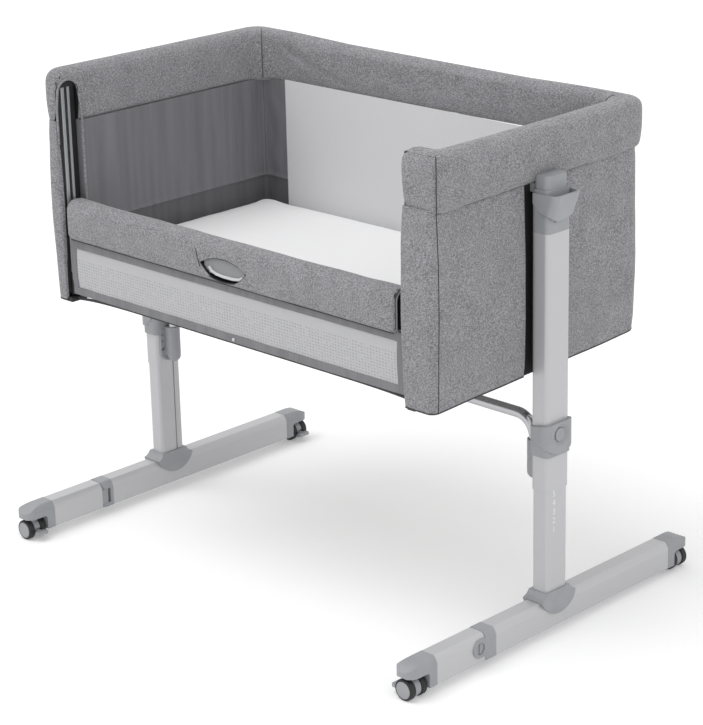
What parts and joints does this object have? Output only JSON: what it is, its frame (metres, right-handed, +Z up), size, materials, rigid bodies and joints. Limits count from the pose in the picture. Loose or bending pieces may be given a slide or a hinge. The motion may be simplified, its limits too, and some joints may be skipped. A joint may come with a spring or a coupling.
{
  "type": "bedside sleeper crib",
  "caption": "Bedside sleeper crib with a padded fabric bassinet, a sliding drop side, telescopic legs with sliding height setting, folding front feet and braked casters.",
  "frame": {"origin": "on the floor under the middle of the crib's outer box", "axes": "+X along the crib to its right end, +Y to its closed long side, +Z up; the drop side faces -Y"},
  "size_m": [0.9876, 0.686, 0.82],
  "materials": {
    "bar_paint": "satin light grey powder coat",
    "frame_paint": "satin dark grey coat",
    "housing_plastic": "fine-grained light grey moulding",
    "cap_plastic": "fine-grained mid grey moulding",
    "black_plastic": "black moulding",
    "guide_aluminium": "satin anodised",
    "bolt_steel": "plated",
    "outer_fabric": "heather grey woven cloth",
    "lining_fabric": "smooth dark grey cloth",
    "window_mesh": "white open knit",
    "side_mesh": "light grey open knit",
    "mattress_cover": "white knitted cover",
    "board_panel": "thin fibreboard",
    "tyre_rubber": "black tyre with a light grey hub disc"
  },
  "bodies": {
    "bassinet": {"post_heads": "housing_plastic", "adjuster_housings": "housing_plastic", "inner_brackets": "housing_plastic", "bracket_bolts": "bolt_steel", "cross_tube": "frame_paint", "rim_tube": "frame_paint", "base_frame": "frame_paint", "guide_tracks": "guide_aluminium", "track_ends": "black_plastic", "mattress_board": "board_panel", "mattress": "mattress_cover", "top_band": "outer_fabric", "end_panel_left": "outer_fabric", "end_panel_right": "outer_fabric", "back_panel": "outer_fabric", "end_linings": "lining_fabric", "back_mesh": "window_mesh", "front_hem": "lining_fabric", "drop_mesh": "side_mesh", "post_tube_right": "bar_paint", "post_tube_left": "bar_paint"},
    "drop_rail": {"rail_tube": "frame_paint", "rail_pad": "outer_fabric", "rail_sliders": "black_plastic", "grip_frame": "black_plastic"},
    "rail_grip": {"rail_grip": "housing_plastic"},
    "leg_right": {"leg_tube_right": "bar_paint", "base_cover_right": "housing_plastic", "rear_foot_bar_right": "bar_paint", "rear_foot_cap_right": "cap_plastic", "fold_hinge_right": "housing_plastic", "rear_caster_bracket_right": "housing_plastic"},
    "front_foot_right": {"front_foot_bar_right": "bar_paint", "front_foot_cap_right": "cap_plastic", "front_knuckle_right": "cap_plastic", "front_caster_bracket_right": "housing_plastic"},
    "release_lever_right": {"release_lever_right": "housing_plastic"},
    "height_button_right": {"height_button_right": "housing_plastic"},
    "fold_lock_button_right": {"fold_lock_button_right": "cap_plastic"},
    "front_wheels_right": {"front_wheels_right": "tyre_rubber"},
    "front_brake_lever_right": {"front_brake_lever_right": "housing_plastic"},
    "rear_wheels_right": {"rear_wheels_right": "tyre_rubber"},
    "rear_brake_lever_right": {"rear_brake_lever_right": "housing_plastic"},
    "leg_left": {"leg_tube_left": "bar_paint", "base_cover_left": "housing_plastic", "rear_foot_bar_left": "bar_paint", "rear_foot_cap_left": "cap_plastic", "fold_hinge_left": "housing_plastic", "rear_caster_bracket_left": "housing_plastic"},
    "front_foot_left": {"front_foot_bar_left": "bar_paint", "front_foot_cap_left": "cap_plastic", "front_knuckle_left": "cap_plastic", "front_caster_bracket_left": "housing_plastic"},
    "release_lever_left": {"release_lever_left": "housing_plastic"},
    "height_button_left": {"height_button_left": "housing_plastic"},
    "fold_lock_button_left": {"fold_lock_button_left": "cap_plastic"},
    "front_wheels_left": {"front_wheels_left": "tyre_rubber"},
    "front_brake_lever_left": {"front_brake_lever_left": "housing_plastic"},
    "rear_wheels_left": {"rear_wheels_left": "tyre_rubber"},
    "rear_brake_lever_left": {"rear_brake_lever_left": "housing_plastic"}
  },
  "joints": [
    {"name": "drop_rail_slide", "type": "slide", "parent": "bassinet", "child": "drop_rail", "axis": [0, 0, 1], "range_m": [0, 0.213], "deforming": ["drop_mesh"]},
    {"name": "rail_grip_squeeze", "type": "slide", "parent": "drop_rail", "child": "rail_grip", "axis": [0, 0, 1], "range_m": [0, 0.007], "stiffness_N_per_m": 300, "springref_m": -0.002},
    {"name": "leg_height_right", "type": "slide", "parent": "bassinet", "child": "leg_right", "axis": [0, 0, 1], "range_m": [0, 0.06]},
    {"name": "front_foot_fold_right", "type": "hinge", "parent": "leg_right", "child": "front_foot_right", "pos_m": [0.445, -0.166, 0.037], "axis": [0, 0, -1], "range_deg": [0, 90]},
    {"name": "release_lever_hinge_right", "type": "hinge", "parent": "bassinet", "child": "release_lever_right", "pos_m": [0.472, 0, 0.68], "axis": [0, 1, 0], "range_deg": [0, 12], "stiffness_Nm_per_rad": 0.5, "springref_deg": -11.46},
    {"name": "height_button_press_right", "type": "slide", "parent": "bassinet", "child": "height_button_right", "axis": [-1, 0, 0], "range_m": [0, 0.002], "stiffness_N_per_m": 600, "springref_m": -0.001},
    {"name": "fold_lock_press_right", "type": "slide", "parent": "front_foot_right", "child": "fold_lock_button_right", "axis": [-1, 0, 0], "range_m": [0, 0.0016], "stiffness_N_per_m": 600, "springref_m": -0.001},
    {"name": "front_wheel_roll_right", "type": "hinge", "parent": "front_foot_right", "child": "front_wheels_right", "pos_m": [0.457, -0.321, 0.0175], "axis": [0, 1, 0], "continuous": true},
    {"name": "front_brake_press_right", "type": "hinge", "parent": "front_foot_right", "child": "front_brake_lever_right", "pos_m": [0.445, -0.321, 0.0155], "axis": [0, -1, 0], "range_deg": [0, 18]},
    {"name": "rear_wheel_roll_right", "type": "hinge", "parent": "leg_right", "child": "rear_wheels_right", "pos_m": [0.457, 0.321, 0.0175], "axis": [0, 1, 0], "continuous": true},
    {"name": "rear_brake_press_right", "type": "hinge", "parent": "leg_right", "child": "rear_brake_lever_right", "pos_m": [0.445, 0.321, 0.0155], "axis": [0, -1, 0], "range_deg": [0, 18]},
    {"name": "leg_height_left", "type": "slide", "parent": "bassinet", "child": "leg_left", "axis": [0, 0, 1], "range_m": [0, 0.06]},
    {"name": "front_foot_fold_left", "type": "hinge", "parent": "leg_left", "child": "front_foot_left", "pos_m": [-0.445, -0.166, 0.037], "axis": [0, 0, 1], "range_deg": [0, 90]},
    {"name": "release_lever_hinge_left", "type": "hinge", "parent": "bassinet", "child": "release_lever_left", "pos_m": [-0.472, 0, 0.68], "axis": [0, -1, 0], "range_deg": [0, 12], "stiffness_Nm_per_rad": 0.5, "springref_deg": -11.46},
    {"name": "height_button_press_left", "type": "slide", "parent": "bassinet", "child": "height_button_left", "axis": [1, 0, 0], "range_m": [0, 0.002], "stiffness_N_per_m": 600, "springref_m": -0.001},
    {"name": "fold_lock_press_left", "type": "slide", "parent": "front_foot_left", "child": "fold_lock_button_left", "axis": [1, 0, 0], "range_m": [0, 0.0016], "stiffness_N_per_m": 600, "springref_m": -0.001},
    {"name": "front_wheel_roll_left", "type": "hinge", "parent": "front_foot_left", "child": "front_wheels_left", "pos_m": [-0.457, -0.321, 0.0175], "axis": [0, 1, 0], "continuous": true},
    {"name": "front_brake_press_left", "type": "hinge", "parent": "front_foot_left", "child": "front_brake_lever_left", "pos_m": [-0.445, -0.321, 0.0155], "axis": [0, 1, 0], "range_deg": [0, 18]},
    {"name": "rear_wheel_roll_left", "type": "hinge", "parent": "leg_left", "child": "rear_wheels_left", "pos_m": [-0.457, 0.321, 0.0175], "axis": [0, 1, 0], "continuous": true},
    {"name": "rear_brake_press_left", "type": "hinge", "parent": "leg_left", "child": "rear_brake_lever_left", "pos_m": [-0.445, 0.321, 0.0155], "axis": [0, 1, 0], "range_deg": [0, 18]}
  ]
}
